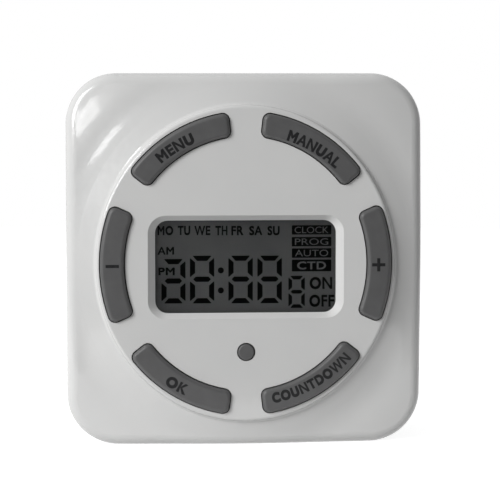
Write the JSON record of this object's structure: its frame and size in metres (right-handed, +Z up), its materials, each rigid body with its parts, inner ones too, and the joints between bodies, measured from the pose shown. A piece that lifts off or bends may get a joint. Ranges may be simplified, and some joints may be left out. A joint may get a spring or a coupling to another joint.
{
  "type": "plug in timer switch",
  "caption": "Square white plug-in outlet timer with a raised oval dial, arc-shaped grey keys round a digital display, a grounded plug behind and a side outlet.",
  "frame": {"origin": "on the raised back face that meets the wall plate, behind the middle of the case", "axes": "+X to the viewer's right, +Y back into the wall along the plug blades, +Z up; the display faces -Y"},
  "size_m": [0.066, 0.0551, 0.069],
  "materials": {
    "case_white": "smooth gloss",
    "outlet_white": "smooth satin",
    "key_grey": "satin",
    "clear_pane": "clear gloss",
    "display_glass": "dark grey display",
    "black_plastic": "matte",
    "soft_rubber": "soft matte",
    "contact_rubber": "soft matte",
    "board_green": "satin",
    "plated_steel": "plated",
    "blade_brass": "polished",
    "coil_copper": "enamelled wire",
    "relay_blue": "smooth",
    "capacitor_yellow": "smooth",
    "capacitor_black": "sleeved",
    "varistor_blue": "dipped",
    "resistor_grey": "dipped"
  },
  "bodies": {
    "case": {"backup_cell": "plated_steel", "board_link": "black_plastic", "bridge_rectifier": "black_plastic", "case_screw_lower_left": "plated_steel", "case_screw_lower_right": "plated_steel", "case_screw_upper_left": "plated_steel", "case_screw_upper_right": "plated_steel", "clock_crystal": "plated_steel", "control_board": "board_green", "control_chip": "black_plastic", "control_screw_1": "plated_steel", "control_screw_2": "plated_steel", "control_screw_3": "plated_steel", "control_screw_4": "plated_steel", "display_front_glass": "display_glass", "display_holder": "black_plastic", "display_rear_glass": "display_glass", "display_window": "clear_pane", "dropper_capacitor": "capacitor_yellow", "front_shell": "case_white", "fuse_resistor": "resistor_grey", "ground_pin": "blade_brass", "ground_strap": "blade_brass", "key_mat": "soft_rubber", "line_blade": "blade_brass", "line_strap": "blade_brass", "lower_contact_strip": "contact_rubber", "neutral_blade": "blade_brass", "neutral_strap": "blade_brass", "outlet_cap": "outlet_white", "outlet_ground_contact": "blade_brass", "outlet_insert": "outlet_white", "outlet_line_contact": "blade_brass", "outlet_neutral_contact": "blade_brass", "power_board": "board_green", "power_screw_1": "plated_steel", "power_screw_2": "plated_steel", "rear_cover": "case_white", "relay_base": "black_plastic", "relay_coil": "coil_copper", "relay_core": "plated_steel", "relay_cover": "relay_blue", "relay_fixed_contact": "blade_brass", "relay_yoke": "plated_steel", "smoothing_capacitor": "capacitor_black", "upper_contact_strip": "contact_rubber", "varistor": "varistor_blue"},
    "plus_key": {"plus_key": "key_grey"},
    "manual_key": {"manual_key": "key_grey"},
    "menu_key": {"menu_key": "key_grey"},
    "minus_key": {"minus_key": "key_grey"},
    "ok_key": {"ok_key": "key_grey"},
    "countdown_key": {"countdown_key": "key_grey"},
    "reset_button": {"reset_button": "key_grey"},
    "relay_armature": {"relay_armature": "plated_steel", "relay_contact_arm": "blade_brass"}
  },
  "joints": [
    {"name": "plus_press", "type": "slide", "parent": "case", "child": "plus_key", "axis": [0, 1, 0], "range_m": [0, 0.0008], "stiffness_N_per_m": 800, "springref_m": -0.0005, "deforming": ["key_mat"]},
    {"name": "manual_press", "type": "slide", "parent": "case", "child": "manual_key", "axis": [0, 1, 0], "range_m": [0, 0.0008], "stiffness_N_per_m": 800, "springref_m": -0.0005, "deforming": ["key_mat"]},
    {"name": "menu_press", "type": "slide", "parent": "case", "child": "menu_key", "axis": [0, 1, 0], "range_m": [0, 0.0008], "stiffness_N_per_m": 800, "springref_m": -0.0005, "deforming": ["key_mat"]},
    {"name": "minus_press", "type": "slide", "parent": "case", "child": "minus_key", "axis": [0, 1, 0], "range_m": [0, 0.0008], "stiffness_N_per_m": 800, "springref_m": -0.0005, "deforming": ["key_mat"]},
    {"name": "ok_press", "type": "slide", "parent": "case", "child": "ok_key", "axis": [0, 1, 0], "range_m": [0, 0.0008], "stiffness_N_per_m": 800, "springref_m": -0.0005, "deforming": ["key_mat"]},
    {"name": "countdown_press", "type": "slide", "parent": "case", "child": "countdown_key", "axis": [0, 1, 0], "range_m": [0, 0.0008], "stiffness_N_per_m": 800, "springref_m": -0.0005, "deforming": ["key_mat"]},
    {"name": "reset_press", "type": "slide", "parent": "case", "child": "reset_button", "axis": [0, 1, 0], "range_m": [0, 0.0008], "stiffness_N_per_m": 800, "springref_m": -0.0005, "deforming": ["key_mat"]},
    {"name": "relay_armature_tilt", "type": "hinge", "parent": "case", "child": "relay_armature", "pos_m": [-0.0181, -0.01855, -0.01335], "axis": [0, 0, -1], "range_deg": [0, 5], "stiffness_Nm_per_rad": 0.02, "springref_deg": -5.73}
  ]
}
